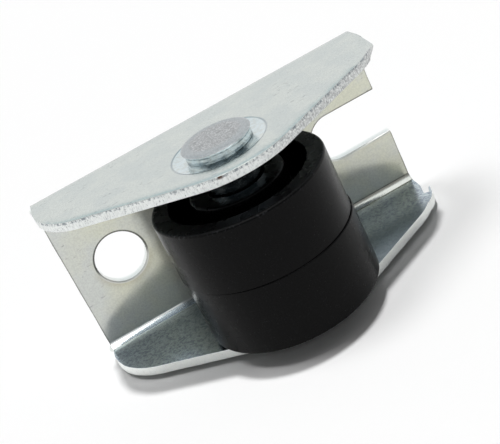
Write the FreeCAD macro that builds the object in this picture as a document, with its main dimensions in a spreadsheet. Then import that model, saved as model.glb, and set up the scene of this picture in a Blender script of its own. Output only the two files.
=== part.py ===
import FreeCAD, Part
import math
import os
import Sketcher
from FreeCAD import Vector

# Small fixed roller: two plastic half-width rollers side by side on a riveted axle, in a bracket folded
# from one zinc-plated sheet. The bracket lies on its lower cheek: +X runs along the bracket to the end
# of the open slot, +Y points out of the back of the web, and +Z runs up the axle to the rivet head.
# The origin is on the outer face of the web, level with the axle and midway between the cheeks.
# Every body is drawn round the axle, and its Placement then moves it in front of the web.

SIZES = {
    "roller_diameter": 25.0,
    "upper_roller_width": 9.3,
    "lower_roller_width": 10.1,
    "roller_gap": 0.1,
    "rim_wall": 2.5,
    "disc_thickness": 3.0,
    "hub_diameter": 13.6,
    "hub_rise": 0.15,
    "roller_edge": 0.4,
    "seam_edge": 0.15,
    "hub_edge": 0.3,
    "axle_diameter": 7.5,
    "bore_play": 0.35,
    "lower_roller_lean": 0.25,
    "resting_clearance": 0.05,
    "inner_width": 24.0,
    "sheet_thickness": 1.5,
    "bend_radius": 0.7,
    "axle_setback": 16.1,
    "left_reach": 25.65,
    "right_reach": 26.5,
    "end_flare": 20.0,
    "left_end_trim": 0.2,
    "right_end_trim": 0.5,
    "nib_place": 9.1,
    "nick_depth": 1.1,
    "nick_width": 0.4,
    "nick_inset": 0.3,
    "bulge_reach": 0.45,
    "bulge_depth": 0.3,
    "bulge_radius": 0.65,
    "nose_radius": 12.6,
    "nose_reach": 9.35,
    "nose_offset": 0.6,
    "flank_angle": 32.0,
    "corner_radius": 10.3,
    "lower_cheek_setback": 1.15,
    "hole_diameter": 7.6,
    "hole_place": 17.8,
    "slot_width": 7.1,
    "slot_place": 17.8,
    "punch_edge": 0.2,
    "dimple_diameter": 13.6,
    "dimple_slope": 1.0,
    "dimple_depth": 0.2,
    "tenon_diameter": 6.0,
    "tenon_clearance": 0.03,
    "neck_diameter": 9.4,
    "head_diameter": 9.9,
    "head_rise": 1.35,
    "head_thickness": 0.35,
    "head_slope": 0.2,
    "head_flat_diameter": 8.8,
    "tail_diameter": 8.8,
    "tail_height": 0.9,
    "tail_edge": 0.4,
}

doc = FreeCAD.newDocument("bracket_roller")
sheet = doc.addObject("Spreadsheet::Sheet", "Sizes")
for row, (alias, number) in enumerate(SIZES.items(), start=1):
    sheet.set("A%d" % row, alias)
    sheet.set("B%d" % row, str(number))
    sheet.setAlias("B%d" % row, alias)
doc.recompute()


def size(alias):
    """Value of one driving size."""
    return float(sheet.get(alias))


def formula(text):
    """Expression text with the sheet's name before each alias."""
    words = []
    for word in text.replace("(", " ( ").replace(")", " ) ").split():
        words.append("Sizes." + word if word in SIZES else word)
    return " ".join(words)


def value(text):
    """Number that such a formula gives with the sheet as it is."""
    names = {alias: size(alias) for alias in SIZES}
    total = FreeCAD.Units.Quantity(substitute(text, names))
    return float(total.Value)


def substitute(text, names):
    """Formula with each alias swapped for its number."""
    words = []
    for word in text.replace("(", " ( ").replace(")", " ) ").split():
        words.append("(%.9f)" % names[word] if word in names else word)
    return " ".join(words)


def new_body(label):
    """Empty body, placed so that its own origin is on the axle."""
    body = doc.addObject("PartDesign::Body", label)
    body.Label = label
    body.setExpression("Placement.Base.y", formula("0 - axle_setback"))
    return body


def origin_plane(body, role):
    """One of the body's own origin planes."""
    for feature in body.Origin.OriginFeatures:
        if feature.Role == role:
            return feature
    raise RuntimeError("no plane " + role)


def new_sketch(body, name, role):
    """Sketch on an origin plane of its own body."""
    sketch = body.newObject("Sketcher::SketchObject", name)
    sketch.AttachmentSupport = [(origin_plane(body, role), "")]
    sketch.MapMode = "FlatFace"
    return sketch


def fix_point(sketch, curve, end, across, along):
    """Hold a point of the sketch at two formulas of the sheet."""
    for kind, axis, text in (("DistanceX", -2, across), ("DistanceY", -1, along)):
        if text == "0":
            sketch.addConstraint(Sketcher.Constraint("PointOnObject", curve, end, axis))
            continue
        index = sketch.addConstraint(Sketcher.Constraint(kind, -1, 1, curve, end, value(text)))
        sketch.setExpression("Constraints[%d]" % index, formula(text))


def closed_profile(sketch, corners):
    """Closed outline of straight lines through corners given as pairs of formulas."""
    points = [Vector(value(across), value(along), 0) for across, along in corners]
    first = sketch.GeometryCount
    count = len(corners)
    for index in range(count):
        line = Part.LineSegment(points[index], points[(index + 1) % count])
        sketch.addGeometry(line, False)
    for index in range(count):
        following = first + (index + 1) % count
        sketch.addConstraint(Sketcher.Constraint("Coincident", first + index, 2, following, 1))
    for index, (across, along) in enumerate(corners):
        fix_point(sketch, first + index, 1, across, along)


def circle(sketch, across, along, diameter):
    """Circle whose centre and diameter follow the sheet."""
    centre = Vector(value(across), value(along), 0)
    curve = sketch.addGeometry(Part.Circle(centre, Vector(0, 0, 1), value(diameter) / 2), False)
    fix_point(sketch, curve, 3, across, along)
    index = sketch.addConstraint(Sketcher.Constraint("Diameter", curve, value(diameter)))
    sketch.setExpression("Constraints[%d]" % index, formula(diameter))


def cut_through(body, sketch, name, way):
    """Pocket right through, behind the sketch, before it or both ways, which must remove metal."""
    doc.recompute()
    metal = body.Shape.Volume
    pocket = body.newObject("PartDesign::Pocket", name)
    pocket.Profile = sketch
    pocket.Type = 1
    pocket.Midplane = way == "both"
    pocket.Reversed = way == "before"
    doc.recompute()
    if body.Shape.Volume >= metal:
        raise RuntimeError(name + " removes nothing")


def turned(body, sketch, name, kind, axis="V_Axis"):
    """Full turn of a profile about the axle, or about another axis of its sketch."""
    feature = body.newObject("PartDesign::" + kind, name)
    feature.Profile = sketch
    feature.ReferenceAxis = (sketch, [axis])
    feature.Angle = 360
    doc.recompute()


def edges_where(feature, test):
    """Names of the feature's edges that pass a test."""
    return ["Edge%d" % (index + 1) for index, edge in enumerate(feature.Shape.Edges) if test(edge)]


def dressed(body, kind, name, names, prop, text):
    """Fillet or chamfer on named edges of the body's last feature."""
    if not names:
        raise RuntimeError(name + " finds no edge")
    base = body.Tip
    feature = body.newObject("PartDesign::" + kind, name)
    feature.Base = (base, names)
    feature.setExpression(prop, formula(text))
    doc.recompute()


def is_ring(edge, radius, height):
    """True for a full circle about the axle with this radius at this height."""
    curve = edge.Curve
    if not isinstance(curve, Part.Circle) or not edge.isClosed():
        return False
    near_axis = math.hypot(curve.Center.x, curve.Center.y) < 1e-4
    return near_axis and abs(curve.Radius - radius) < 1e-4 and abs(curve.Center.z - height) < 1e-4


def channel(body):
    """Length of folded channel: web at the back and a cheek above and below."""
    front = "0 - nose_reach - sheet_thickness"
    outer = "inner_width / 2 + sheet_thickness"
    section = new_sketch(body, "channel_section", "YZ_Plane")
    closed_profile(section, [
        (front, "0 - ( " + outer + " )"),
        ("axle_setback", "0 - ( " + outer + " )"),
        ("axle_setback", outer),
        (front, outer),
        (front, "inner_width / 2"),
        ("axle_setback - sheet_thickness", "inner_width / 2"),
        ("axle_setback - sheet_thickness", "0 - inner_width / 2"),
        (front, "0 - inner_width / 2"),
    ])
    pad = body.newObject("PartDesign::Pad", "channel")
    pad.Profile = section
    pad.Midplane = True
    pad.setExpression("Length", formula("left_reach + right_reach + 4 * sheet_thickness"))
    doc.recompute()
    half = size("inner_width") / 2
    inner = size("axle_setback") - size("sheet_thickness")

    def along_fold(edge, depth, height):
        middle = edge.BoundBox.Center
        return (edge.BoundBox.XLength > size("left_reach") and abs(middle.y - depth) < 1e-4
                and abs(abs(middle.z) - height) < 1e-4)

    outside = edges_where(pad, lambda edge: along_fold(edge, size("axle_setback"), value(outer)))
    dressed(body, "Fillet", "outer_bends", outside, "Radius", "bend_radius + sheet_thickness")
    inside = edges_where(body.Tip, lambda edge: along_fold(edge, inner, half))
    dressed(body, "Fillet", "inner_bends", inside, "Radius", "bend_radius")


def tangent_point(centre, radius, angle):
    """Point of a circle where its outward normal has this angle."""
    return centre + Vector(radius * math.cos(angle), radius * math.sin(angle), 0)


def cheek_outline(body, name, way, setback):
    """Trim one cheek to a rounded nose, straight flanks, rounded corners and flared ends."""
    left, right = -size("left_reach"), size("right_reach")
    back = size("axle_setback") + size("sheet_thickness")
    slope = math.radians(size("flank_angle"))
    flare = math.radians(size("end_flare"))
    corner = size("corner_radius")
    nose = size("nose_radius")
    nose_place = "nose_radius - nose_reach + " + setback
    nose_centre = Vector(size("nose_offset"), value(nose_place), 0)
    right_normal = slope - math.pi / 2
    left_normal = -math.pi / 2 - slope

    def corner_centre(side, normal):
        # The flank is tangent to both circles, so it fixes the corner circle's height.
        across = side - math.copysign(corner, side)
        flank = Vector(math.cos(normal), math.sin(normal), 0)
        reach = nose_centre.dot(flank) + nose - corner
        return Vector(across, (reach - across * flank.x) / flank.y, 0)

    right_centre = corner_centre(right, right_normal)
    left_centre = corner_centre(left, left_normal)
    sketch = new_sketch(body, name + "_outline", "XY_Plane")
    up = Vector(0, 0, 1)
    right_flank = (tangent_point(nose_centre, nose, right_normal),
                   tangent_point(right_centre, corner, right_normal))
    left_flank = (tangent_point(left_centre, corner, left_normal),
                  tangent_point(nose_centre, nose, left_normal))
    left_end = tangent_point(left_centre, corner, math.pi + flare)
    right_end = tangent_point(right_centre, corner, -flare)
    left_back = Vector(left_end.x - (back - left_end.y) * math.tan(flare), back, 0)
    right_back = Vector(right_end.x + (back - right_end.y) * math.tan(flare), back, 0)
    curves = [
        Part.LineSegment(left_back, left_end),
        Part.ArcOfCircle(Part.Circle(left_centre, up, corner), math.pi + flare, left_normal + 2 * math.pi),
        Part.LineSegment(*left_flank),
        Part.ArcOfCircle(Part.Circle(nose_centre, up, nose), left_normal, right_normal),
        Part.LineSegment(*right_flank),
        Part.ArcOfCircle(Part.Circle(right_centre, up, corner), right_normal, -flare),
        Part.LineSegment(right_end, right_back),
        Part.LineSegment(right_back, left_back),
    ]
    sketch.addGeometry(curves, False)
    rules = [
        ("Tangent", 0, 2, 1, 1), ("Tangent", 1, 2, 2, 1), ("Tangent", 2, 2, 3, 1),
        ("Tangent", 3, 2, 4, 1), ("Tangent", 4, 2, 5, 1), ("Tangent", 5, 2, 6, 1),
        ("Coincident", 6, 2, 7, 1), ("Coincident", 7, 2, 0, 1), ("Horizontal", 7), ("Equal", 1, 5),
    ]
    for rule in rules:
        sketch.addConstraint(Sketcher.Constraint(*rule))
    driving = [
        (("Radius", 1, corner), "corner_radius"),
        (("Radius", 3, nose), "nose_radius"),
        (("DistanceX", -1, 1, 5, 3, right_centre.x), "right_reach - corner_radius"),
        (("DistanceX", 1, 3, -1, 1, -left_centre.x), "left_reach - corner_radius"),
        (("DistanceY", -1, 1, 7, 1, back), "axle_setback + sheet_thickness"),
        (("DistanceX", -1, 1, 3, 3, nose_centre.x), "nose_offset"),
        (("DistanceY", -1, 1, 3, 3, nose_centre.y), nose_place),
    ]
    for rule, text in driving:
        index = sketch.addConstraint(Sketcher.Constraint(*rule))
        sketch.setExpression("Constraints[%d]" % index, formula(text))
    leans = [
        (4, slope, "1 deg * Sizes.flank_angle"),
        (2, -slope, "-1 deg * Sizes.flank_angle"),
        (6, math.pi / 2 - flare, "90 deg - 1 deg * Sizes.end_flare"),
        (0, flare - math.pi / 2, "1 deg * Sizes.end_flare - 90 deg"),
    ]
    for curve, angle, text in leans:
        index = sketch.addConstraint(Sketcher.Constraint("Angle", -1, curve, angle))
        sketch.setExpression("Constraints[%d]" % index, text)
    # The pocket takes away what lies between this outline and a frame well outside it.
    wide = "left_reach + right_reach"
    deep = "nose_radius + axle_setback + left_reach"
    closed_profile(sketch, [
        ("0 - ( " + wide + " )", "0 - ( " + deep + " )"),
        (wide, "0 - ( " + deep + " )"),
        (wide, deep),
        ("0 - ( " + wide + " )", deep),
    ])
    cut_through(body, sketch, name + "_trim", way)


def end_trims(body, name, way, setback):
    """Shorten the web and the fold at both ends, which leaves a shear nib on each end of the cheek."""
    nib = "nib_place + " + setback
    back = "axle_setback + sheet_thickness"
    end = "right_reach - right_end_trim"
    wide = "right_reach + left_reach"
    right = new_sketch(body, name + "_right_end_outline", "XY_Plane")
    closed_profile(right, [
        (end, back),
        (end, nib + " + nick_depth / 2"),
        (end + " - nick_inset", nib + " - nick_depth"),
        (end, nib + " - nick_depth"),
        (end + " + nick_width", nib),
        (wide, nib),
        (wide, back),
    ])
    cut_through(body, right, name + "_right_end_trim", way)
    left = new_sketch(body, name + "_left_end_outline", "XY_Plane")
    closed_profile(left, [
        ("left_end_trim - left_reach", nib),
        ("left_end_trim - left_reach", back),
        ("0 - ( " + wide + " )", back),
        ("0 - ( " + wide + " )", nib),
    ])
    cut_through(body, left, name + "_left_end_trim", way)


def fold_bulge(body, name, side):
    """Swelling that the folding has pushed out of a fold's left end."""
    sketch = new_sketch(body, name + "_section", "XY_Plane")
    sketch.setExpression("AttachmentOffset.Base.y", formula("axle_setback - sheet_thickness + bulge_depth"))
    sketch.setExpression("AttachmentOffset.Base.z", formula(side + "( inner_width / 2 + bulge_depth )"))
    end = "left_end_trim - left_reach"
    closed_profile(sketch, [
        (end + " - bulge_reach", "0"),
        (end + " + bulge_reach", "0"),
        (end + " + bulge_reach", "bulge_radius / 2"),
        (end, "bulge_radius"),
        (end + " - bulge_reach", "bulge_radius / 3"),
    ])
    turned(body, sketch, name, "Revolution", "H_Axis")


def web_openings(body):
    """Round screw hole at the left and open-ended slot at the right of the web."""
    sketch = new_sketch(body, "web_hole_outline", "XZ_Plane")
    circle(sketch, "0 - hole_place", "0", "hole_diameter")
    cut_through(body, sketch, "web_hole", "behind")
    slot = new_sketch(body, "web_slot_outline", "XZ_Plane")
    closed_profile(slot, [
        ("slot_place", "0 - slot_width / 2"),
        ("right_reach + sheet_thickness", "0 - slot_width / 2"),
        ("right_reach + sheet_thickness", "slot_width / 2"),
        ("slot_place", "slot_width / 2"),
    ])
    cut_through(body, slot, "web_slot", "behind")
    slot_round = new_sketch(body, "slot_round_outline", "XZ_Plane")
    circle(slot_round, "slot_place", "0", "slot_width")
    cut_through(body, slot_round, "slot_round", "behind")
    inner = size("axle_setback") - size("sheet_thickness")
    limit = size("hole_diameter") / 2 + size("slot_width") / 2

    def on_inner_face(edge):
        box = edge.BoundBox
        flat = abs(box.YMin - inner) < 1e-4 and abs(box.YMax - inner) < 1e-4
        inside = max(abs(box.ZMin), abs(box.ZMax)) < limit and box.XLength > 1e-3
        return flat and inside

    names = edges_where(body.Tip, on_inner_face)
    dressed(body, "Chamfer", "punched_edges", names, "Size", "punch_edge")


def dimples(body):
    """Shallow coined seat round the axle in each cheek, with the axle hole in its middle."""
    rim = "dimple_diameter / 2"
    floor = "dimple_diameter / 2 - dimple_slope"
    for name, sign in (("upper", ""), ("lower", "0 - ")):
        inner = sign + "( inner_width / 2 )"
        raised = sign + "( inner_width / 2 - dimple_depth )"
        outer = sign + "( inner_width / 2 + sheet_thickness )"
        sunk = sign + "( inner_width / 2 + sheet_thickness - dimple_depth )"
        middle = sign + "( inner_width / 2 + sheet_thickness / 2 )"
        boss = new_sketch(body, name + "_boss_section", "XZ_Plane")
        closed_profile(boss, [("0", middle), (rim, middle), (rim, inner), (floor, raised), ("0", raised)])
        turned(body, boss, name + "_boss", "Revolution")
        dish = new_sketch(body, name + "_dish_section", "XZ_Plane")
        closed_profile(dish, [("0", outer), (rim, outer), (floor, sunk), ("0", sunk)])
        turned(body, dish, name + "_dish", "Groove")
    hole = new_sketch(body, "axle_hole_outline", "XY_Plane")
    circle(hole, "0", "0", "tenon_diameter + 2 * tenon_clearance")
    cut_through(body, hole, "axle_holes", "both")


def make_bracket():
    """One sheet: punched, cut to outline and folded twice."""
    body = new_body("bracket")
    channel(body)
    for name, way, setback in (("upper", "before", "0"), ("lower", "behind", "lower_cheek_setback")):
        cheek_outline(body, name + "_cheek", way, setback)
        end_trims(body, name, way, setback)
    fold_bulge(body, "upper_bulge", "")
    fold_bulge(body, "lower_bulge", "0 - ")
    web_openings(body)
    dimples(body)
    return body


def make_axle():
    """Turned rivet: shouldered shank, tenon through each cheek, necked head above and tail below."""
    body = new_body("axle_rivet")
    shoulder = "inner_width / 2 - dimple_depth"
    seat = "inner_width / 2 + sheet_thickness - dimple_depth"
    top = "inner_width / 2 + sheet_thickness + head_rise"
    tail = "0 - ( " + seat + " ) - tail_height"
    tenon = "tenon_diameter / 2"
    sketch = new_sketch(body, "rivet_section", "XZ_Plane")
    closed_profile(sketch, [
        ("0", tail),
        ("tail_diameter / 2 - tail_edge", tail),
        ("tail_diameter / 2", tail + " + tail_edge"),
        ("tail_diameter / 2", "0 - ( " + seat + " )"),
        (tenon, "0 - ( " + seat + " )"),
        (tenon, "0 - ( " + shoulder + " )"),
        ("axle_diameter / 2", "0 - ( " + shoulder + " )"),
        ("axle_diameter / 2", shoulder),
        (tenon, shoulder),
        (tenon, seat),
        ("neck_diameter / 2", seat),
        ("neck_diameter / 2", top + " - head_thickness"),
        ("head_diameter / 2", top + " - head_thickness"),
        ("head_diameter / 2", top + " - head_slope"),
        ("head_flat_diameter / 2", top),
        ("0", top),
    ])
    turned(body, sketch, "rivet", "Revolution")
    return body


def make_roller(label, width, start, facing, lean):
    """Moulded roller: rim, disc and hub, hollow on the side that faces its cheek."""
    body = new_body(label)
    body.setExpression("Placement.Base.x", formula(lean))
    outward = " + " if facing > 0 else " - "

    def level(text):
        return start + outward + "( " + text + " )"

    bore = "axle_diameter / 2 + bore_play"
    rim = "roller_diameter / 2"
    hollow = "roller_diameter / 2 - rim_wall"
    hub = "hub_diameter / 2"
    sketch = new_sketch(body, label + "_section", "XZ_Plane")
    closed_profile(sketch, [
        (bore, level("0")),
        (rim, level("0")),
        (rim, level(width)),
        (hollow, level(width)),
        (hollow, level("disc_thickness")),
        (hub, level("disc_thickness")),
        (hub, level(width + " + hub_rise")),
        (bore, level(width + " + hub_rise")),
    ])
    turned(body, sketch, label + "_blank", "Revolution")
    edges = [
        ("outer", rim, width, "roller_edge"),
        ("seam", rim, "0", "seam_edge"),
        ("hub", hub, width + " + hub_rise", "hub_edge"),
    ]
    for place, radius, height, cut in edges:
        reach, rise = value(radius), value(level(height))
        names = edges_where(body.Tip, lambda edge: is_ring(edge, reach, rise))
        dressed(body, "Chamfer", label + "_" + place + "_edge", names, "Size", cut)
    return body


# The rollers have slid down the axle, so the lower hub rests on the coined seat of the lower cheek.
LOWER_FLOOR = "0 - inner_width / 2 + dimple_depth + resting_clearance + hub_rise"
SEAM = LOWER_FLOOR + " + lower_roller_width"

pieces = [
    make_bracket(),
    make_axle(),
    make_roller("roller_upper", "upper_roller_width", SEAM + " + roller_gap", 1, "0"),
    make_roller("roller_lower", "lower_roller_width", SEAM, -1, "lower_roller_lean"),
]
doc.recompute()

for item in doc.Objects:
    if "Invalid" in item.State or "Error" in item.State:
        raise RuntimeError("failed: " + item.Name)
for piece in pieces:
    if piece.Shape.isNull() or not piece.Shape.isValid():
        raise RuntimeError("bad shape: " + piece.Label)

os.makedirs("parts", exist_ok=True)
for piece in pieces:
    piece.Shape.exportStep("parts/" + piece.Label + ".step")
    box = piece.Shape.BoundBox
    print(piece.Label, "volume %.1f" % piece.Shape.Volume, "x %.2f %.2f" % (box.XMin, box.XMax),
          "y %.2f %.2f" % (box.YMin, box.YMax), "z %.2f %.2f" % (box.ZMin, box.ZMax))
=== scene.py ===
import math

import bmesh
import bpy
from bpy.props import FloatProperty, FloatVectorProperty, IntProperty, PointerProperty
from mathutils import Matrix, Vector, noise
from mathutils.bvhtree import BVHTree


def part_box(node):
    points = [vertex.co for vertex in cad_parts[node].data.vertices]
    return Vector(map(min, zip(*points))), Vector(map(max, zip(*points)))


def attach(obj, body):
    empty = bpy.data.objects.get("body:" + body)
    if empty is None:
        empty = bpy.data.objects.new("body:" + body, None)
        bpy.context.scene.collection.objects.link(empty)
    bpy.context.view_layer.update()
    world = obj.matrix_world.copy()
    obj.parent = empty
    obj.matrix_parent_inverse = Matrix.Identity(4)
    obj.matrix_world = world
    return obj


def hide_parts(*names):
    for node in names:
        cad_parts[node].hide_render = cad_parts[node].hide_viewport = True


bl_info = {
    "name": "Bracket roller",
    "version": (1, 0, 0),
    "blender": (4, 5, 0),
    "location": "View3D > Sidebar > Roller",
    "description": "Finishes for a small riveted roller in a folded zinc-plated bracket",
    "category": "Object",
}

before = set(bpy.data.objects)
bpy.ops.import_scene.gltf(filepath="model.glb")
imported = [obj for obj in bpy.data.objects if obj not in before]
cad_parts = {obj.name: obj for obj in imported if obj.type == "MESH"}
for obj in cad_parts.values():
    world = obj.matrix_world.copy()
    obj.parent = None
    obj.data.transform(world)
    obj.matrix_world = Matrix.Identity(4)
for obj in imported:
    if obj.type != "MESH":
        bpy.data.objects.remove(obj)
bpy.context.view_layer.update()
MM = 0.001

UPPER_LOW, UPPER_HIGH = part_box("roller_upper")
LOWER_LOW, LOWER_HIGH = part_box("roller_lower")
RIVET_LOW, RIVET_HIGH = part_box("axle_rivet")
BRACKET_LOW, BRACKET_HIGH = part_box("bracket")
AXLE_Y = (UPPER_LOW.y + UPPER_HIGH.y) / 2
LOWER_X = (LOWER_LOW.x + LOWER_HIGH.x) / 2

# The middle of the web between its two sheared ends, and the way from there to where their shade starts.
WEB_MIDDLE = (BRACKET_LOW.x + BRACKET_HIGH.x) / 2 - 0.14 * MM
WEB_HALF = 25.51 * MM

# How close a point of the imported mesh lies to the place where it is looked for, how close two points
# are the same, and how steeply two faces meet where their shared edge stays sharp.
CLOSE = 0.01 * MM
SAME = 0.001 * MM
SHARP = math.radians(40)

# A Mix node's colour inputs, its colour output and its number inputs.
MIX_COLOURS = (6, 7)
MIX_COLOUR_OUT = 2
MIX_NUMBERS = (2, 3)

# The cheeks' sheared tips: each outline point in millimetres, where it goes on the outer face,
# how far it is drawn down there, and where it goes on the inner face. The lower ones aren't drawn down.
UPPER_TIPS = (
    ((-25.45, -7.00), (-25.66, -5.20), 0.00, (-25.66, -5.20)),
    ((-25.80, -7.00), (-25.50, -7.20), 0.00, (-25.50, -7.20)),
    ((26.00, -6.45), (26.00, -6.00), 0.00, (26.00, -6.45)),
    ((25.70, -8.10), (26.15, -7.30), 0.30, (26.10, -7.30)),
    ((26.00, -8.10), (26.20, -8.30), 0.50, (26.10, -8.20)),
    ((26.40, -7.00), (26.25, -9.10), 0.70, (26.00, -8.90)),
    ((26.73, -7.00), (26.15, -9.60), 0.85, (25.90, -9.30)),
    ((25.88, -9.34), (25.80, -9.95), 0.65, (25.60, -9.80)),
    ((25.62, -9.97), (25.60, -10.35), 0.50, (25.35, -10.20)),
    ((25.33, -10.59), (25.33, -10.80), 0.35, (25.10, -10.65)),
    ((24.99, -11.18), (24.99, -11.25), 0.22, (24.80, -11.10)),
    ((24.62, -11.75), (24.62, -11.75), 0.12, (24.50, -11.65)),
)
LOWER_TIPS = tuple((old, new, 0.0, new) for old, new in (
    ((-25.45, -5.85), (-25.62, -4.30)),
    ((-25.80, -5.85), (-25.46, -6.10)),
    ((26.00, -5.30), (25.80, -5.30)),
    ((25.70, -6.95), (25.15, -7.90)),
    ((26.00, -6.95), (25.75, -8.30)),
    ((26.40, -5.85), (26.35, -7.00)),
    ((26.73, -5.85), (26.72, -6.60)),
    ((25.88, -8.19), (26.15, -8.70)),
    ((25.62, -8.82), (25.75, -9.50)),
    ((25.33, -9.44), (25.40, -10.05)),
    ((24.99, -10.03), (25.03, -10.45)),
    ((24.62, -10.60), (24.65, -10.85)),
))


def length(name, description, default):
    """Length setting in metres."""
    return FloatProperty(name=name, description=description, default=default, min=0.0,
                         precision=5, subtype="DISTANCE", unit="LENGTH")


def tint(name, description, default):
    """Colour setting in linear light."""
    return FloatVectorProperty(name=name, description=description, default=default, size=3,
                               min=0.0, max=1.0, subtype="COLOR")


class BracketSettings(bpy.types.PropertyGroup):
    """Sheet and finish of the folded bracket."""

    sheet: length("Sheet", "Thickness of the sheet", 1.5 * MM)
    inner_half: length("Half opening", "From the middle to a cheek's inner face", 12.0 * MM)
    fold: length("Fold radius", "Inner radius of the two folds", 0.7 * MM)
    soft_fold: length("Soft fold", "Inner radius of the folds as they look once plated", 0.90 * MM)
    fold_flatness: FloatProperty(name="Fold flatness", default=0.80, min=0.0, max=1.0,
                                 description="How far the folds are flattened across the corner")
    hole_reach: length("Hole reach", "From the axle to the hole and to the slot's round end", 17.8 * MM)
    hole_radius: length("Hole radius", "Radius of the screw hole", 3.8 * MM)
    slot_radius: length("Slot radius", "Radius of the slot's round end", 3.55 * MM)
    seat_radius: length("Seat radius", "Radius of the coined seat round the rivet", 6.7 * MM)
    end_wander: length("End wander", "How far the sheared ends wander from straight", 0.14 * MM)
    corner_draw: length("Corner draw", "How far the upper right end draws back at its fold", 0.30 * MM)
    edge_round: length("Outer edge", "Rounding of the sheared edge on the outer side", 0.16 * MM)
    burr_round: length("Inner edge", "Rounding of the sheared edge on the inner side", 0.06 * MM)
    edge_step: length("Edge step", "Spacing of points along the sheared edge", 0.35 * MM)
    roll_width: length("Die roll", "Width of the slope that shearing draws down", 1.25 * MM)
    roll_drop: length("Die roll drop", "How far the sheet is drawn down at its edge", 0.13 * MM)
    cell: length("Cell", "Spacing of points on the cheeks' outer faces", 0.5 * MM)

    zinc: tint("Zinc", "Colour of the plated faces", (0.645, 0.680, 0.650))
    zinc_dull: tint("Dull zinc", "Colour of the cloudy patches", (0.595, 0.637, 0.622))
    passivation: tint("Passivation", "Warm tint on the web", (0.900, 0.905, 0.740))
    hazy: tint("Hazy zinc", "Colour of the web where it has no warm tint", (0.830, 0.855, 0.810))
    mirror: tint("Inner zinc", "Colour of the cheeks' brighter inner faces", (0.570, 0.640, 0.665))
    fleck: tint("Flecks", "Colour of the fine flecks", (0.34, 0.36, 0.37))
    bruise: tint("Bruises", "Colour of the spots on the inner faces", (0.27, 0.31, 0.38))
    # Painted shade: a dark coat on the lower cheek's inner face at its front right, beside the roller and
    # under the upper cheek.
    cheek_shade: tint("Cheek shade", "Colour of the soiled part of the lower cheek", (0.15, 0.18, 0.20))
    dash: tint("Dashes", "Colour of the short scratches", (0.26, 0.27, 0.28))
    seat: tint("Seat", "Colour of the coined seat", (0.68, 0.76, 0.79))
    # Painted shade: the dark line along the coined slope round the seat.
    ring: tint("Ring", "Colour of the line round the seat", (0.36, 0.41, 0.43))
    # Painted highlight and painted shade on the inner folds: bright at the left, dark at the right.
    fold_light: tint("Lit fold", "Colour of the inner folds where they are rubbed", (0.95, 0.99, 0.99))
    fold_shade: tint("Dark fold", "Colour of the inner folds where they are not rubbed", (0.17, 0.17, 0.15))
    bend_shade: tint("Outer folds", "Colour of the outer folds", (0.34, 0.35, 0.34))
    end_shade: tint("Cut ends", "Colour along the web's cut ends", (0.16, 0.16, 0.15))
    halo: tint("Halo", "Colour of the brown halo under the hole", (0.50, 0.45, 0.30))
    # Painted highlight on the punched rims' lower part and painted shade on their upper part.
    rim_highlight: tint("Bright burr", "Colour of the punched rims below", (0.95, 0.95, 0.90))
    rim_shade: tint("Dark burr", "Colour of the punched rims above", (0.07, 0.07, 0.06))

    sheared: tint("Sheared edge", "Colour of the cut walls", (0.93, 0.955, 0.94))
    smooth_cut: tint("Smooth cut", "Colour of the lower cheek's cut walls", (0.95, 0.97, 0.94))
    # Darker, duller stretch of the upper cut walls towards the right.
    dimmer: tint("Dimmer edge", "Colour of the cut walls' dull stretch", (0.50, 0.51, 0.51))
    torn: tint("Tears", "Colour of the torn stripes in the cut walls", (0.46, 0.48, 0.48))
    nick: tint("Nicks", "Colour of the crumbled nicks in the cut walls", (0.20, 0.21, 0.23))
    lip_shade: tint("Lip", "Colour under the upper cheek's drawn lip", (0.18, 0.22, 0.25))
    rust: tint("Rust", "Colour of the stain on the upper edge", (0.10, 0.045, 0.025))


class RivetSettings(bpy.types.PropertyGroup):
    """Finish of the rivet."""

    edge_round: length("Edge rounding", "Rounding of the head's turned edges", 0.08 * MM)
    steel: tint("Neck", "Colour of the turned neck and shank", (0.74, 0.79, 0.79))
    neck_shade: tint("Neck shade", "Colour of the neck's dark bands", (0.25, 0.30, 0.32))
    struck: tint("Struck top", "Colour of the head's struck top", (0.365, 0.365, 0.368))
    border: tint("Border", "Colour of the smoother border of the top", (0.47, 0.50, 0.515))


class RollerSettings(bpy.types.PropertyGroup):
    """Section and finish of the two rollers."""

    rim_wall: length("Rim wall", "Thickness of the rim", 2.5 * MM)
    disc: length("Disc", "Thickness of the disc between hub and rim", 3.0 * MM)
    hub_radius: length("Hub radius", "Outer radius of the hub", 6.8 * MM)
    bore_radius: length("Bore radius", "Radius of the bore", 4.1 * MM)
    hub_rise: length("Hub rise", "How far the hub stands proud of the rim", 0.15 * MM)
    rim_round: length("Rim rounding", "Rounding of the rim's outer edge", 0.4 * MM)
    small_round: length("Small rounding", "Rounding of the other moulded edges", 0.2 * MM)
    seam_round: length("Seam rounding", "Rounding of the lower roller's edge at the seam", 0.16 * MM)
    steps: IntProperty(name="Steps", description="Facets round a roller", default=192, min=24)
    plastic: tint("Plastic", "Colour of the moulded plastic", (0.0010, 0.0010, 0.0011))
    scuffed: tint("Scuffs", "Colour of the scuffed plastic", (0.022, 0.023, 0.025))


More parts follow.
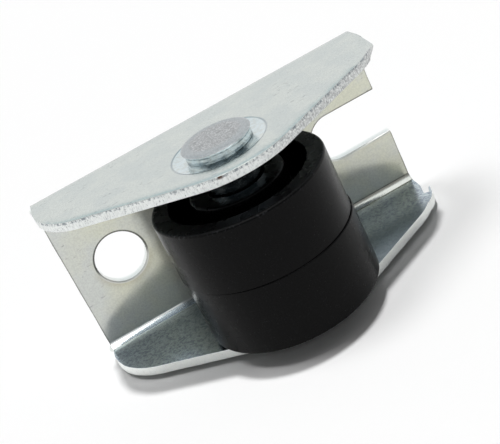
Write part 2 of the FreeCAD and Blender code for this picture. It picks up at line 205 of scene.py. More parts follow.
class StageSettings(bpy.types.PropertyGroup):
    """Camera, light and floor."""

    aim: FloatVectorProperty(name="Aim", description="Point that the camera looks at", size=3,
                             default=(-0.80 * MM, -16.10 * MM, 1.65 * MM), subtype="TRANSLATION")
    azimuth: FloatProperty(name="Azimuth", description="Direction of view round the axle, from +Y",
                           default=math.radians(7.327), subtype="ANGLE")
    elevation: FloatProperty(name="Elevation", description="How steeply the camera looks down",
                             default=math.radians(25.160), subtype="ANGLE")
    roll: FloatProperty(name="Roll", description="Turn of the camera about its line of sight",
                        default=math.radians(-26.407), subtype="ANGLE")
    distance: length("Distance", "From the camera to its aim", 171.1 * MM)
    lens: FloatProperty(name="Lens", description="Focal length in millimetres", default=92.17)
    paper: tint("Paper", "Colour of the floor", (0.97, 0.97, 0.97))
    dark_card: tint("Dark card", "Colour of the room's dark front in reflections", (0.105, 0.135, 0.155))
    cool: tint("Cool card", "Colour of the room's upper back in reflections", (0.70, 0.80, 0.84))
    key_strength: FloatProperty(name="Key", description="Strength of the small lamp overhead",
                                default=1.96)
    side_strength: FloatProperty(name="Side", description="Strength of the soft lamp at the left",
                                 default=0.85)
    fill_strength: FloatProperty(name="Fill", description="Strength of the sky's fill", default=0.155)
    window_strength: FloatProperty(name="Window", description="Strength of the window in reflections",
                                   default=3.4)


def shader(name):
    """New node material with its tree and its surface node."""
    material = bpy.data.materials.new(name)
    material.use_nodes = True
    return material, material.node_tree, material.node_tree.nodes["Principled BSDF"]


def add(tree, kind, inputs=None, **settings):
    """Add a node, set it and feed its inputs with numbers or sockets."""
    node = tree.nodes.new("ShaderNode" + kind)
    for name, value in settings.items():
        setattr(node, name, value)
    for socket, value in (inputs or {}).items():
        if isinstance(value, bpy.types.NodeSocket):
            tree.links.new(value, node.inputs[socket])
        else:
            node.inputs[socket].default_value = value
    return node


def place(tree, stretch=(1.0, 1.0, 1.0), centre=(0.0, 0.0, 0.0)):
    """Object coordinates about a centre, stretched along each axis."""
    coords = add(tree, "TexCoord").outputs["Object"]
    moved = add(tree, "Mapping", {"Vector": coords, "Location": tuple(-value for value in centre)})
    stretched = add(tree, "Mapping", {"Vector": moved.outputs["Vector"], "Scale": stretch})
    return stretched.outputs["Vector"]


def grain(tree, vector, feature, detail=4.0, roughness=0.55):
    """Noise whose lumps are about as large as the feature."""
    node = add(tree, "TexNoise", {"Vector": vector, "Scale": 1.0 / feature, "Detail": detail,
                                  "Roughness": roughness})
    return node.outputs["Fac"]


def between(tree, value, low, high, start=0.0, end=1.0):
    """Value carried from one range to another and held at its ends."""
    node = add(tree, "MapRange", {"Value": value, "From Min": low, "From Max": high,
                                  "To Min": start, "To Max": end}, interpolation_type="SMOOTHSTEP")
    return node.outputs["Result"]


def blended(tree, share, first, second):
    """Mix of two colours by a share."""
    node = add(tree, "Mix", {"Factor": share}, data_type="RGBA")
    for index, colour in zip(MIX_COLOURS, (first, second)):
        if isinstance(colour, bpy.types.NodeSocket):
            tree.links.new(colour, node.inputs[index])
        else:
            node.inputs[index].default_value = (*colour, 1.0)
    return node.outputs[MIX_COLOUR_OUT]


def maths(tree, operation, first, second=0.0, clamp=False):
    """One arithmetic node."""
    node = tree.nodes.new("ShaderNodeMath")
    node.operation = operation
    node.use_clamp = clamp
    for index, value in enumerate((first, second)):
        if isinstance(value, bpy.types.NodeSocket):
            tree.links.new(value, node.inputs[index])
        else:
            node.inputs[index].default_value = value
    return node.outputs[0]


def relief(tree, bsdf, height, depth):
    """Bump of a real depth on the surface."""
    node = add(tree, "Bump", {"Height": height, "Distance": depth, "Strength": 1.0})
    tree.links.new(node.outputs["Normal"], bsdf.inputs["Normal"])


def axis_part(tree, vector, axis):
    """One component of a vector."""
    return add(tree, "SeparateXYZ", {"Vector": vector}).outputs[axis]


def product(tree, first, *others):
    """Masks and numbers multiplied together."""
    for other in others:
        first = maths(tree, "MULTIPLY", first, other)
    return first


def total(tree, first, *others):
    """Heights and numbers added together."""
    for other in others:
        first = maths(tree, "ADD", first, other)
    return first


def above(tree, value, limit, blur):
    """Mask that rises from 0 to 1 where a value passes a limit."""
    return between(tree, value, limit - blur / 2, limit + blur / 2)


def below(tree, value, limit, blur):
    """Mask that falls from 1 to 0 where a value passes a limit."""
    return between(tree, value, limit + blur / 2, limit - blur / 2)


def laid(tree, colour, coat, mask, strength=1.0):
    """Colour with a coat laid over it where a mask says, at a strength."""
    share = mask if strength == 1.0 else product(tree, mask, strength)
    return blended(tree, share, colour, coat)


def mixed(tree, share, first, second):
    """Mix of two numbers or masks by a share."""
    inputs = {0: share, MIX_NUMBERS[0]: first, MIX_NUMBERS[1]: second}
    return add(tree, "Mix", inputs, data_type="FLOAT").outputs[0]


def off_centre(tree, stretch, centre):
    """Distance from a centre, along the axes that aren't stretched to nothing."""
    away = place(tree, stretch, centre)
    return add(tree, "VectorMath", {0: away}, operation="LENGTH").outputs["Value"]


class SheetPlaces:
    """Where a point lies on the folded sheet: distances in metres, patterns, and masks from 0 to 1."""

    def __init__(self, tree, settings):
        half, sheet = settings.inner_half, settings.sheet
        self.here = place(tree)
        self.x, self.y, self.z = (axis_part(tree, self.here, axis) for axis in "XYZ")
        self.off_middle = maths(tree, "ABSOLUTE", self.z)
        self.cloud = grain(tree, self.here, 4.0 * MM, 3.0)
        self.lumps = grain(tree, self.here, 0.9 * MM, 3.0, 0.6)
        self.speckle = grain(tree, self.here, 0.26 * MM, 2.0, 0.7)

        self.inside = below(tree, self.off_middle, half + 0.15 * MM, 0.20 * MM)
        self.outside = above(tree, self.off_middle, half + 0.80 * MM, 0.20 * MM)
        self.web = product(tree, above(tree, self.y, -sheet - 0.20 * MM, 0.30 * MM),
                           below(tree, self.y, -sheet + 0.325 * MM, 0.35 * MM),
                           below(tree, self.off_middle, half - 0.525 * MM, 0.25 * MM))
        self.crease = product(tree, above(tree, self.off_middle, half - 0.95 * MM, 0.20 * MM), self.inside,
                              above(tree, self.y, -sheet - 1.00 * MM, 0.30 * MM))

        self.off_axle = off_centre(tree, (1.0, 1.0, 0.0), (0.0, AXLE_Y, 0.0))
        self.off_hole = off_centre(tree, (1.0, 0.0, 1.0), (-settings.hole_reach, 0.0, 0.0))
        past = maths(tree, "MINIMUM", maths(tree, "SUBTRACT", self.x, settings.hole_reach), 0.0)
        squares = total(tree, product(tree, past, past), product(tree, self.z, self.z))
        self.off_slot = maths(tree, "SQRT", squares)


def plated_colour(tree, sheet, settings):
    """Cloudy zinc outside, brighter on the cheeks' inner faces, hazy and warm on the web."""
    outer = blended(tree, between(tree, sheet.cloud, 0.35, 0.65), settings.zinc, settings.zinc_dull)
    faces = blended(tree, sheet.inside, outer, settings.mirror)
    patches = grain(tree, place(tree, centre=(-20.0 * MM, 0.0, -4.0 * MM)), 5.0 * MM, 4.0, 0.6)
    greyer = between(tree, sheet.x, -18.5 * MM, -24.5 * MM, 0.0, 0.75)
    film = maths(tree, "SUBTRACT", between(tree, patches, 0.30, 0.62, 0.25, 1.0), greyer, True)
    return blended(tree, sheet.web, faces, blended(tree, film, settings.hazy, settings.passivation))


def flecks_over(tree, sheet, settings, colour):
    """Flecks all over, bruises on the cheeks' inner faces, painted shade on the lower cheek's front right
    beside the roller, and short dashes where worn.
    """
    colour = laid(tree, colour, settings.fleck, between(tree, sheet.speckle, 0.34, 0.66), 0.22)
    spots = grain(tree, sheet.here, 0.42 * MM, 3.0, 0.65)
    off_fold = below(tree, sheet.y, -3.25 * MM, 0.70 * MM)
    bruised = product(tree, sheet.inside, off_fold, between(tree, spots, 0.40, 0.66, 0.0, 0.9))
    colour = laid(tree, colour, settings.bruise, bruised)
    # Painted shade on the lower cheek's inner face at its front right, beside the roller.
    cheek_shade = product(tree, sheet.inside, between(tree, sheet.y, -8.0 * MM, -13.0 * MM),
                    between(tree, sheet.x, 4.0 * MM, 9.0 * MM), between(tree, sheet.z, 0.0, -2.0 * MM))
    colour = laid(tree, colour, settings.cheek_shade, cheek_shade, 0.8)
    dashes = between(tree, grain(tree, place(tree, (0.35, 1.0, 1.0)), 0.36 * MM, 1.0), 0.66, 0.76)
    wear = grain(tree, place(tree, centre=(-3.0 * MM, 0.0, 0.0)), 9.0 * MM, 2.0)
    return laid(tree, colour, settings.dash, product(tree, dashes, between(tree, wear, 0.42, 0.60)), 0.5)


def seat_over(tree, sheet, settings, colour):
    """Brighter seat that the rivet was struck on, and painted shade along the coined slope round it."""
    radius = settings.seat_radius
    seat = product(tree, sheet.outside, below(tree, sheet.off_axle, radius, 0.20 * MM),
                   between(tree, sheet.lumps, 0.35, 0.60, 0.15, 0.75))
    # Painted shade along the coined slope round the seat.
    line = product(tree, above(tree, sheet.off_axle, radius - 0.065 * MM, 0.17 * MM),
                   below(tree, sheet.off_axle, radius + 0.19 * MM, 0.18 * MM), sheet.outside,
                   between(tree, sheet.cloud, 0.30, 0.55, 0.45, 0.9))
    return laid(tree, laid(tree, colour, settings.seat, seat), settings.ring, line)


def folds_over(tree, sheet, settings, colour):
    """Inner folds with a painted highlight at the left turning to painted shade at the right, and shade on
    the outer folds and the web's cut ends.
    """
    # Painted highlight at the left of the inner folds, painted shade at their right.
    fold_light = blended(tree, between(tree, sheet.x, -18.0 * MM, 2.0 * MM), settings.fold_light, settings.fold_shade)
    colour = laid(tree, colour, fold_light, sheet.crease, 0.85)
    bend = product(tree, above(tree, sheet.y, -1.70 * MM, 0.60 * MM), sheet.outside)
    colour = laid(tree, colour, settings.bend_shade, bend, 0.45)
    along = maths(tree, "ABSOLUTE", maths(tree, "SUBTRACT", sheet.x, WEB_MIDDLE))
    ends = product(tree, sheet.web, above(tree, along, WEB_HALF, 0.18 * MM))
    return laid(tree, colour, settings.end_shade, ends, 0.75)


def rims_over(tree, sheet, settings, colour):
    """Punched rims of the hole and slot, with painted shade on their upper part and a painted highlight on
    their lower part, over a brown halo.
    """
    front = product(tree, below(tree, sheet.y, -1.24 * MM, 0.08 * MM),
                    below(tree, sheet.off_middle, 5.50 * MM, 1.00 * MM))
    round_hole = below(tree, sheet.off_hole, settings.hole_radius + 0.29 * MM, 0.14 * MM)
    round_slot = below(tree, sheet.off_slot, settings.slot_radius + 0.235 * MM, 0.13 * MM)
    punched = product(tree, maths(tree, "MAXIMUM", round_hole, round_slot), front)
    ragged_height = total(tree, sheet.z, product(tree, sheet.cloud, 2.0 * MM))
    upper = between(tree, ragged_height, -1.2 * MM, 1.0 * MM)
    near_hole = below(tree, sheet.off_hole, settings.hole_radius + 0.85 * MM, 1.10 * MM)
    halo = product(tree, near_hole, front, maths(tree, "SUBTRACT", 1.0, upper))
    colour = laid(tree, colour, settings.halo, halo, 0.35)
    # Painted shade on the rims' upper part and a painted highlight on their lower part.
    return laid(tree, colour, blended(tree, upper, settings.rim_highlight, settings.rim_shade), punched, 0.9)


def zinc_sheet(settings):
    """Rolled and plated faces of the sheet, with what wear and making have left on them, and painted
    highlights and shade on the folds, the punched rims, the seat's line and the lower cheek.
    """
    material, tree, bsdf = shader("zinc_sheet")
    sheet = SheetPlaces(tree, settings)
    colour = plated_colour(tree, sheet, settings)
    for layer in (flecks_over, seat_over, folds_over, rims_over):
        colour = layer(tree, sheet, settings, colour)
    tree.links.new(colour, bsdf.inputs["Base Color"])

    web_metal = 0.50
    tree.links.new(between(tree, sheet.web, 0.0, 1.0, 1.0, web_metal), bsdf.inputs["Metallic"])
    smoother = total(tree, product(tree, sheet.crease, 0.11), product(tree, sheet.web, 0.07))
    satin = between(tree, sheet.lumps, 0.3, 0.7, 0.20, 0.27)
    tree.links.new(maths(tree, "SUBTRACT", satin, smoother), bsdf.inputs["Roughness"])

    coined = product(tree, above(tree, sheet.off_axle, settings.seat_radius + 0.04 * MM, 0.24 * MM),
                     sheet.outside, 2.5)
    curled = product(tree, between(tree, sheet.y, -4.2 * MM, -2.4 * MM, 0.0, 3.0), sheet.inside)
    textured = total(tree, product(tree, sheet.lumps, 0.30), product(tree, sheet.speckle, 0.22))
    textured = product(tree, textured, between(tree, sheet.web, 0.0, 1.0, 1.0, 0.35))
    relief(tree, bsdf, total(tree, textured, coined, curled), 0.022 * MM)
    return material


def sheared_edge(settings):
    """Cut walls: bright, crumbled by the shears above, duller at the right and stained once."""
    material, tree, bsdf = shader("sheared_edge")
    here = place(tree)
    x, z = (axis_part(tree, here, axis) for axis in "XZ")
    tears = grain(tree, place(tree, (1.0, 1.0, 0.2)), 0.15 * MM, 3.0, 0.7)
    crumbs = grain(tree, here, 0.26 * MM, 3.0, 0.65)
    upper = between(tree, z, 0.0, 4.0 * MM)
    right = between(tree, x, 0.0, 9.0 * MM)
    rough_cut = between(tree, upper, 0.0, 1.0, 0.45, 1.0)

    striped = product(tree, between(tree, tears, 0.45, 0.70), rough_cut)
    colour = laid(tree, settings.sheared, settings.torn, striped, 0.5)
    # Darker, duller stretch on the upper cut walls towards the right.
    dull = product(tree, right, upper, between(tree, crumbs, 0.25, 0.65))
    colour = laid(tree, colour, settings.dimmer, dull)
    nicks = product(tree, between(tree, crumbs, 0.58, 0.68), rough_cut,
                    between(tree, right, 0.0, 1.0, 0.6, 0.4))
    colour = laid(tree, colour, settings.nick, nicks)
    lip = grain(tree, place(tree, (1.0, 1.0, 0.4)), 0.45 * MM, 3.0, 0.7)
    ragged = product(tree, above(tree, z, 13.01 * MM, 0.18 * MM), upper, between(tree, lip, 0.44, 0.60))
    colour = laid(tree, colour, settings.lip_shade, ragged, 0.8)
    off_stain = off_centre(tree, (1.0, 1.0, 1.6), (-2.9 * MM, -25.4 * MM, 13.2 * MM))
    stain = below(tree, total(tree, off_stain, product(tree, crumbs, 0.9 * MM)), 1.025 * MM, 0.45 * MM)
    colour = laid(tree, colour, settings.rust, stain)
    colour = laid(tree, colour, settings.smooth_cut, between(tree, upper, 0.0, 1.0, 0.55, 0.0))
    tree.links.new(colour, bsdf.inputs["Base Color"])

    bsdf.inputs["Metallic"].default_value = 0.85
    tree.links.new(between(tree, crumbs, 0.3, 0.7, 0.38, 0.56), bsdf.inputs["Roughness"])
    height = total(tree, product(tree, tears, 0.6), product(tree, crumbs, 0.6))
    relief(tree, bsdf, product(tree, height, rough_cut), 0.06 * MM)
    return material


def scaled(colour, factor):
    """Colour made brighter or darker by a factor."""
    return tuple(min(1.0, factor * part) for part in colour)


def rivet_steel(settings):
    """Bright turned neck, and a dull top struck into shallow dents inside a smoother border."""
    material, tree, bsdf = shader("rivet_steel")
    here = place(tree, centre=(0.0, AXLE_Y, 0.0))
    z = axis_part(tree, here, "Z")
    reach = off_centre(tree, (1.0, 1.0, 0.0), (0.0, AXLE_Y, 0.0))
    dents = grain(tree, here, 1.0 * MM, 4.0, 0.65)
    fine = grain(tree, here, 0.20 * MM, 3.0, 0.6)
    rings = grain(tree, place(tree, (0.2, 0.2, 1.0)), 0.08 * MM, 2.0)
    streaks = grain(tree, place(tree, (1.0, 1.0, 2.0), (0.0, AXLE_Y, 0.0)), 1.3 * MM, 3.0, 0.6)
    top = above(tree, z, RIVET_HIGH.z - 0.26 * MM, 0.08 * MM)
    border = above(tree, total(tree, reach, product(tree, dents, 1.2 * MM)), 4.2 * MM, 0.6 * MM)

    faced = blended(tree, between(tree, fine, 0.42, 0.66), settings.struck, scaled(settings.struck, 1.9))
    faced = laid(tree, faced, scaled(settings.struck, 0.8), between(tree, dents, 0.52, 0.78))
    faced = laid(tree, faced, settings.border, border, 0.55)
    foot = below(tree, z, RIVET_HIGH.z - 1.125 * MM, 0.35 * MM)
    throat = product(tree, below(tree, z, RIVET_HIGH.z - 0.52 * MM, 0.08 * MM),
                     above(tree, z, RIVET_HIGH.z - 0.73 * MM, 0.14 * MM), 0.9)
    patchy = between(tree, streaks, 0.42, 0.62, -0.50, 0.30)
    shade = maths(tree, "ADD", maths(tree, "MAXIMUM", foot, throat), patchy, True)
    turned = blended(tree, shade, settings.steel, settings.neck_shade)
    tree.links.new(blended(tree, top, turned, faced), bsdf.inputs["Base Color"])

    bsdf.inputs["Metallic"].default_value = 1.0
    bright = between(tree, rings, 0.25, 0.75, 0.10, 0.20)
    dull = between(tree, fine, 0.25, 0.75, 0.36, 0.52)
    tree.links.new(mixed(tree, top, bright, dull), bsdf.inputs["Roughness"])
    struck = product(tree, total(tree, dents, product(tree, fine, 0.35)),
                     between(tree, border, 0.0, 1.0, 1.0, 0.25))
    relief(tree, bsdf, mixed(tree, top, product(tree, rings, 0.10), struck), 0.11 * MM)
    return material


def black_plastic(settings):
    """Satin moulded plastic with a fine skin, faint scuffs and pale nicks along the rim's edge."""
    material, tree, bsdf = shader("black_plastic")
    here = place(tree)
    z = axis_part(tree, here, "Z")
    dust = between(tree, grain(tree, here, 0.20 * MM, 2.0), 0.58, 0.70)
    scratches = between(tree, grain(tree, place(tree, (0.25, 0.25, 4.0)), 0.7 * MM, 2.0), 0.68, 0.76)
    nicks = between(tree, grain(tree, here, 0.35 * MM, 2.0), 0.56, 0.68)
    rim = product(tree, above(tree, z, UPPER_HIGH.z - 0.65 * MM, 0.30 * MM),
                  below(tree, z, UPPER_HIGH.z - 0.23 * MM, 0.14 * MM))
    marks = maths(tree, "MAXIMUM", product(tree, rim, nicks), product(tree, scratches, 0.35))
    marks = maths(tree, "MAXIMUM", marks, product(tree, dust, 0.22))
    tree.links.new(blended(tree, marks, settings.plastic, settings.scuffed), bsdf.inputs["Base Color"])

    bsdf.inputs["Metallic"].default_value = 0.0
    bsdf.inputs["IOR"].default_value = 1.45
    bsdf.inputs["Specular IOR Level"].default_value = 0.11
    lie = grain(tree, here, 2.5 * MM, 3.0)
    tree.links.new(between(tree, lie, 0.3, 0.7, 0.24, 0.32), bsdf.inputs["Roughness"])
    relief(tree, bsdf, grain(tree, here, 0.12 * MM, 3.0), 0.006 * MM)
    return material


def floor_paper(settings):
    """Pale matte paper under the object."""
    material, tree, bsdf = shader("floor_paper")
    fibre = grain(tree, place(tree), 0.8 * MM, 3.0)
    tree.links.new(blended(tree, fibre, settings.paper, scaled(settings.paper, 0.99)),
                   bsdf.inputs["Base Color"])
    bsdf.inputs["Roughness"].default_value = 0.9
    bsdf.inputs["Specular IOR Level"].default_value = 0.1
    return material


def finished(name, mesh, materials, body, node):
    """Turn a bmesh into a piece that rides on its body and stands for its node."""
    data = bpy.data.meshes.new(name)
    mesh.to_mesh(data)
    mesh.free()
    piece = bpy.data.objects.new(name, data)
    bpy.context.scene.collection.objects.link(piece)
    for material in materials:
        data.materials.append(material)
    data.shade_smooth()
    data.set_sharp_from_angle(angle=SHARP)
    weighted = piece.modifiers.new("face_weighted_normals", "WEIGHTED_NORMAL")
    weighted.keep_sharp = True
    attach(piece, body)
    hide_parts(node)


def merged_copy(node):
    """Copy of a node's mesh with its doubles merged and its flat faces joined."""
    mesh = bmesh.new()
    mesh.from_mesh(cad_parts[node].data)
    bmesh.ops.remove_doubles(mesh, verts=mesh.verts, dist=SAME)
    bmesh.ops.dissolve_limit(mesh, angle_limit=math.radians(0.4), verts=mesh.verts, edges=mesh.edges)
    mesh.normal_update()
    return mesh


class OBJECT_OT_roller_bracket(bpy.types.Operator):
    """Round and finish the sheared edges of the folded bracket"""

    bl_idname = "object.roller_bracket"
    bl_label = "Bracket"

    def shape_tips(self, mesh, settings):
        """Give the cheeks' tips their sheared shape before their edges are rounded."""
        half = settings.inner_half + settings.sheet / 2
        for side, tips in ((1.0, UPPER_TIPS), (-1.0, LOWER_TIPS)):
            for old, outer, drop, inner in tips:
                start = Vector(old) * MM
                for vert in mesh.verts:
                    on_cheek = side * vert.co.z > settings.inner_half - CLOSE
                    if not on_cheek or (vert.co.xy - start).length > 2 * CLOSE:
                        continue
                    out = side * vert.co.z > half
                    vert.co.xy = Vector(outer if out else inner) * MM
                    vert.co.z -= side * drop * MM if out else 0.0
        mesh.normal_update()

    def soften_folds(self, mesh, settings):
        """Open the folds' inner corner to the softer radius that shows."""
        for vert in mesh.verts:
            side = math.copysign(1.0, vert.co.z)
            across = vert.co.y - (BRACKET_HIGH.y - settings.sheet - settings.fold)
            up = abs(vert.co.z) - (settings.inner_half - settings.fold)
            off_round = abs(math.hypot(across, up) - settings.fold)
            if across < -CLOSE or up < -CLOSE or off_round > 3 * CLOSE:
                continue
            turned = math.atan2(up, across)
            share = turned / (math.pi / 2)
            round_y, round_z = math.cos(turned), math.sin(turned)
            across = round_y + settings.fold_flatness * (1.0 - share - round_y)
            up = round_z + settings.fold_flatness * (share - round_z)
            vert.co.y = BRACKET_HIGH.y - settings.sheet + settings.soft_fold * (across - 1.0)
            vert.co.z = side * (settings.inner_half + settings.soft_fold * (up - 1.0))
        mesh.normal_update()

    def wander(self, mesh, settings):
        """Let the folded ends wander a little, and round the upper one at its fold."""
        left_end, right_end = -25.15 * MM, 25.70 * MM
        front, corner = -4.5 * MM, 10.0 * MM
        waves = 260.0
        for vert in mesh.verts:
            if vert.co.y < front or left_end <= vert.co.x <= right_end:
                continue
            side = math.copysign(1.0, vert.co.x)
            back = vert.co.y - front
            step = 0.5 + 0.5 * noise.noise(Vector((side, 0.0, vert.co.z * waves)))
            if side > 0.0 and vert.co.z > corner:
                near = min(1.0, back / (3.0 * MM)) * min(1.0, (vert.co.z - corner) / (2.5 * MM))
                vert.co.x -= settings.corner_draw * near
            vert.co.x -= side * settings.end_wander * step * min(1.0, back / (2.0 * MM))

    def cut_wall(self, face, settings):
        """True for a face across the sheet's thickness."""
        centre = face.calc_center_median()
        straight = settings.inner_half - settings.fold
        back = BRACKET_HIGH.y - settings.sheet - settings.fold
        if centre.y < back:
            return abs(face.normal.z) < 0.5
        if abs(centre.z) < straight:
            return abs(face.normal.y) < 0.5
        return abs(face.normal.x) > 0.5

    def outer_side(self, face, settings):
        """True for a face on the outer side of the sheet."""
        centre = face.calc_center_median()
        half = settings.sheet / 2
        return (abs(centre.z) > settings.inner_half + half) or (centre.y > BRACKET_HIGH.y - half)

    def rim_edges(self, mesh, settings, outer):
        """Edges between a cut wall and a sheet face on one side."""
        found = []
        for edge in mesh.edges:
            if len(edge.link_faces) != 2:
                continue
            walls = [self.cut_wall(face, settings) for face in edge.link_faces]
            if walls[0] == walls[1]:
                continue
            sheet_face = edge.link_faces[1] if walls[0] else edge.link_faces[0]
            wall_face = edge.link_faces[0] if walls[0] else edge.link_faces[1]
            if sheet_face.normal.angle(wall_face.normal) < math.radians(50):
                continue
            if self.outer_side(sheet_face, settings) == outer:
                found.append(edge)
        return found

    def outer_faces(self, mesh):
        """Flat outer faces of the two cheeks."""
        level = BRACKET_HIGH.z - CLOSE
        return [face for face in mesh.faces
                if abs(face.normal.z) > 0.999 and abs(face.calc_center_median().z) > level]

    def divide(self, mesh, step):
        """Cut the cheeks' outer faces into small cells, so that their edges can be drawn down."""
        for across, low, high in ((Vector((1.0, 0.0, 0.0)), BRACKET_LOW.x, BRACKET_HIGH.x),
                                  (Vector((0.0, 1.0, 0.0)), BRACKET_LOW.y, BRACKET_HIGH.y)):
            faces = self.outer_faces(mesh)
            cut = list({item for face in faces for item in (*face.verts, *face.edges, face)})
            for index in range(1, int((high - low) / step)):
                plane = across * (low + index * step)
                done = bmesh.ops.bisect_plane(mesh, geom=cut, dist=1e-7, plane_co=plane, plane_no=across)
                cut = done["geom"]

    def draw_down(self, mesh, settings):
        """Slope the outer faces gently down to their sheared edge, as the die leaves them."""
        fold_end = -2.0 * MM
        walls = [face for face in mesh.faces
                 if face.material_index == 1 and face.calc_center_median().y < fold_end]
        spots, rings = [], []
        for face in walls:
            rings.append([len(spots) + index for index in range(len(face.verts))])
            spots.extend(vert.co.copy() for vert in face.verts)
        tree = BVHTree.FromPolygons(spots, rings)
        half = settings.inner_half + settings.sheet / 2
        for vert in mesh.verts:
            if abs(vert.co.z) < half or vert.co.y > fold_end:
                continue
            side = math.copysign(1.0, vert.co.z)
            wall_middle = Vector((vert.co.x, vert.co.y, side * half))
            nearest, _, _, away = tree.find_nearest(wall_middle, settings.roll_width)
            if nearest is None:
                continue
            share = 1.0 - away / settings.roll_width
            uneven = 1.0 + 0.45 * noise.noise(vert.co * 450.0) + 0.25 * noise.noise(vert.co * 1500.0)
            off_fold = min(1.0, (fold_end - vert.co.y) / (1.5 * MM))
            depth = (abs(vert.co.z) - settings.inner_half) / settings.sheet
            vert.co.z -= side * settings.roll_drop * share ** 3 * uneven * off_fold * depth

    def execute(self, context):
        settings = context.scene.bracket_finish
        mesh = merged_copy("bracket")
        self.shape_tips(mesh, settings)
        self.soften_folds(mesh, settings)
        for outer, radius, segments in ((True, settings.edge_round, 4), (False, settings.burr_round, 2)):
            for edge in self.rim_edges(mesh, settings, outer):
                cuts = int(edge.calc_length() / settings.edge_step)
                if cuts:
                    bmesh.ops.subdivide_edges(mesh, edges=[edge], cuts=cuts)
            mesh.normal_update()
            bmesh.ops.bevel(mesh, geom=self.rim_edges(mesh, settings, outer), offset=radius,
                            offset_type="OFFSET", segments=segments, profile=0.5, affect="EDGES",
                            clamp_overlap=True, material=-1)
            mesh.normal_update()
        for face in mesh.faces:
            face.material_index = 1 if self.cut_wall(face, settings) else 0
        self.divide(mesh, settings.cell)
        self.draw_down(mesh, settings)
        self.wander(mesh, settings)
        mesh.normal_update()
        finished("bracket_sheet", mesh, [zinc_sheet(settings), sheared_edge(settings)],
                 "frame", "bracket")
        return {"FINISHED"}


class OBJECT_OT_roller_rivet(bpy.types.Operator):
    """Round the turned edges of the rivet and finish it"""

    bl_idname = "object.roller_rivet"
    bl_label = "Axle rivet"

    def execute(self, context):
        settings = context.scene.rivet_finish
        mesh = merged_copy("axle_rivet")
        corners = [edge for edge in mesh.edges
                   if len(edge.link_faces) == 2 and edge.calc_face_angle() > math.radians(50)]
        bmesh.ops.bevel(mesh, geom=corners, offset=settings.edge_round, offset_type="OFFSET",
                        segments=3, profile=0.5, affect="EDGES", clamp_overlap=True, material=-1)
        mesh.normal_update()
        finished("axle_rivet_finish", mesh, [rivet_steel(settings)],
                 "frame", "axle_rivet")
        return {"FINISHED"}


class OBJECT_OT_roller_wheels(bpy.types.Operator):
    """Spin the two moulded rollers"""

    bl_idname = "object.roller_wheels"
    bl_label = "Rollers"

    def turn(self, settings, radius, seam, rim_end, hub_end, across, facing):
        """Spin one roller's section about the axle and round its moulded edges."""
        mesh = bmesh.new()
        disc = seam + facing * settings.disc
        section = [
            (settings.bore_radius, seam), (radius, seam), (radius, rim_end),
            (radius - settings.rim_wall, rim_end), (radius - settings.rim_wall, disc),
            (settings.hub_radius, disc), (settings.hub_radius, hub_end), (settings.bore_radius, hub_end),
        ]
        corners = [mesh.verts.new((across + out, AXLE_Y, up)) for out, up in section]
        edges = [mesh.edges.new(pair) for pair in zip(corners, corners[1:] + corners[:1])]
        bmesh.ops.spin(mesh, geom=corners + edges, cent=(across, AXLE_Y, 0.0), axis=(0.0, 0.0, 1.0),
                       angle=math.tau, steps=settings.steps, use_merge=True, use_duplicate=False)
        bmesh.ops.remove_doubles(mesh, verts=mesh.verts, dist=1e-7)
        bmesh.ops.recalc_face_normals(mesh, faces=mesh.faces)
        rounds = [
            (radius, rim_end, settings.rim_round, 6),
            (radius, seam, settings.seam_round if facing < 0 else 0.3 * settings.seam_round, 3),
            (radius - settings.rim_wall, rim_end, 0.6 * settings.small_round, 3),
            (radius - settings.rim_wall, disc, 2 * settings.small_round, 4),
            (settings.hub_radius, disc, 2 * settings.small_round, 4),
            (settings.hub_radius, hub_end, 1.6 * settings.small_round, 4),
            (settings.bore_radius, hub_end, 0.8 * settings.small_round, 3),
            (settings.bore_radius, seam, 0.8 * settings.small_round, 3),
        ]
        for out, up, radius_here, segments in rounds:
            ring = [edge for edge in mesh.edges
                    if all(self.on_ring(vert.co, across, out, up) for vert in edge.verts)]
            bmesh.ops.bevel(mesh, geom=ring, offset=radius_here, offset_type="OFFSET", segments=segments,
                            profile=0.5, affect="EDGES", clamp_overlap=False, material=-1)
        return mesh

    def on_ring(self, point, across, out, up):
        """True for a point on a circle about the roller's own axis."""
        reach = math.hypot(point.x - across, point.y - AXLE_Y)
        return abs(reach - out) < SAME and abs(point.z - up) < SAME

    def execute(self, context):
        settings = context.scene.roller_finish
        material = black_plastic(settings)
        radius = (UPPER_HIGH.x - UPPER_LOW.x) / 2
        rise = settings.hub_rise
        upper = self.turn(settings, radius, UPPER_LOW.z, UPPER_HIGH.z - rise, UPPER_HIGH.z, 0.0, 1)
        finished("roller_upper_moulding", upper, [material],
                 "upper_roller", "roller_upper")
        lower = self.turn(settings, radius, LOWER_HIGH.z, LOWER_LOW.z + rise, LOWER_LOW.z, LOWER_X, -1)
        finished("roller_lower_moulding", lower, [material],
                 "lower_roller", "roller_lower")
        return {"FINISHED"}


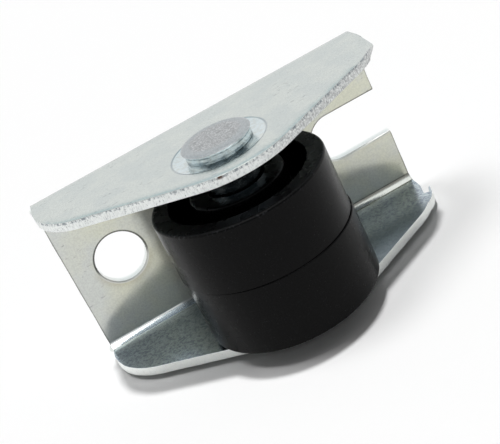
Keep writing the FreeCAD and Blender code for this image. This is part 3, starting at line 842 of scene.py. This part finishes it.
class OBJECT_OT_roller_stage(bpy.types.Operator):
    """Set the floor, the light and the camera"""

    bl_idname = "object.roller_stage"
    bl_label = "Stage"

    def floor(self, settings):
        """Wide pale floor under the rivet's tail."""
        mesh = bmesh.new()
        bmesh.ops.create_grid(mesh, x_segments=1, y_segments=1, size=2.0)
        bmesh.ops.translate(mesh, verts=mesh.verts, vec=(0.0, 0.0, RIVET_LOW.z))
        data = bpy.data.meshes.new("floor")
        mesh.to_mesh(data)
        mesh.free()
        data.materials.append(floor_paper(settings))
        floor = bpy.data.objects.new("floor", data)
        bpy.context.scene.collection.objects.link(floor)

    def sky(self, settings):
        """White room for the eye, a room with dark and cool cards for reflections, and a gentle fill."""
        world = bpy.data.worlds.new("white_room")
        bpy.context.scene.world = world
        world.use_nodes = True
        tree = world.node_tree
        tree.nodes.clear()
        paths = add(tree, "LightPath")
        seen = maths(tree, "MAXIMUM", paths.outputs["Is Camera Ray"], paths.outputs["Is Transmission Ray"])
        direction = add(tree, "TexCoord").outputs["Generated"]
        ahead, up = axis_part(tree, direction, "Y"), axis_part(tree, direction, "Z")
        front = product(tree, between(tree, ahead, -0.08, -0.40), between(tree, up, 0.64, 0.48))
        high_back = product(tree, between(tree, ahead, 0.05, 0.35), between(tree, up, 0.45, 0.68))
        window = product(tree, between(tree, up, 0.80, 0.88), between(tree, up, 0.985, 0.955),
                         between(tree, ahead, -0.10, -0.22))
        panel = between(tree, up, 0.80, 0.92)
        room = blended(tree, high_back, (1.0, 1.0, 1.0), settings.cool)
        room = blended(tree, panel, room, (1.0, 1.0, 1.0))
        room = blended(tree, front, room, settings.dark_card)
        mirrored = paths.outputs["Is Glossy Ray"]
        colour = blended(tree, mirrored, (1.0, 1.0, 1.0), room)
        bright = product(tree, mirrored, between(tree, window, 0.0, 1.0, 1.0, settings.window_strength))
        elsewhere = maths(tree, "SUBTRACT", 1.0, maths(tree, "MAXIMUM", seen, mirrored))
        strength = total(tree, seen, bright, product(tree, elsewhere, settings.fill_strength))
        light = add(tree, "Background", {"Color": colour, "Strength": strength})
        output = add(tree, "OutputWorld")
        tree.links.new(light.outputs["Background"], output.inputs["Surface"])

    def lamp(self, name, strength, towards, spread):
        """Lamp that shines from one direction, with its spread in degrees."""
        data = bpy.data.lights.new(name, "SUN")
        data.energy = strength
        data.angle = math.radians(spread)
        lamp = bpy.data.objects.new(name, data)
        lamp.rotation_euler = Vector(towards).to_track_quat("Z", "Y").to_euler()
        lamp.visible_glossy = False
        bpy.context.scene.collection.objects.link(lamp)

    def camera(self, settings):
        """Camera at the photograph's angle."""
        data = bpy.data.cameras.new("camera")
        data.sensor_width = 36.0
        data.lens = settings.lens
        data.clip_start = 0.01
        data.clip_end = 10.0
        sight = Vector((math.sin(settings.azimuth) * math.cos(settings.elevation),
                        math.cos(settings.azimuth) * math.cos(settings.elevation),
                        -math.sin(settings.elevation)))
        turned = sight.to_track_quat("-Z", "Y").to_matrix() @ Matrix.Rotation(settings.roll, 3, "Z")
        camera = bpy.data.objects.new("camera", data)
        station = Vector(settings.aim) - settings.distance * sight
        camera.matrix_world = Matrix.Translation(station) @ turned.to_4x4()
        bpy.context.scene.collection.objects.link(camera)
        bpy.context.scene.camera = camera

    def execute(self, context):
        settings = context.scene.stage_setup
        self.floor(settings)
        self.sky(settings)
        above_object, above_left = (0.03, 0.085, 1.00), (-0.28, 0.16, 0.95)
        self.lamp("overhead", settings.key_strength, above_object, spread=3.0)
        self.lamp("left", settings.side_strength, above_left, spread=20.0)
        self.camera(settings)
        context.scene.view_settings.view_transform = "Standard"
        return {"FINISHED"}


class VIEW3D_PT_bracket_roller(bpy.types.Panel):
    """Sidebar panel of the roller's steps"""

    bl_idname = "VIEW3D_PT_bracket_roller"
    bl_label = "Bracket roller"
    bl_space_type = "VIEW_3D"
    bl_region_type = "UI"
    bl_category = "Roller"

    def draw(self, context):
        for operator in STEPS:
            self.layout.operator(operator.bl_idname)


SETTINGS = {
    "bracket_finish": BracketSettings,
    "rivet_finish": RivetSettings,
    "roller_finish": RollerSettings,
    "stage_setup": StageSettings,
}
STEPS = (
    OBJECT_OT_roller_bracket,
    OBJECT_OT_roller_rivet,
    OBJECT_OT_roller_wheels,
    OBJECT_OT_roller_stage,
)


def register():
    for name, group in SETTINGS.items():
        bpy.utils.register_class(group)
        setattr(bpy.types.Scene, name, PointerProperty(type=group))
    for operator in STEPS:
        bpy.utils.register_class(operator)
    bpy.utils.register_class(VIEW3D_PT_bracket_roller)


def unregister():
    bpy.utils.unregister_class(VIEW3D_PT_bracket_roller)
    for operator in reversed(STEPS):
        bpy.utils.unregister_class(operator)
    for name, group in SETTINGS.items():
        delattr(bpy.types.Scene, name)
        bpy.utils.unregister_class(group)


def main():
    register()
    bpy.ops.object.roller_bracket()
    bpy.ops.object.roller_rivet()
    bpy.ops.object.roller_wheels()
    bpy.ops.object.roller_stage()


if __name__ == "__main__":
    main()
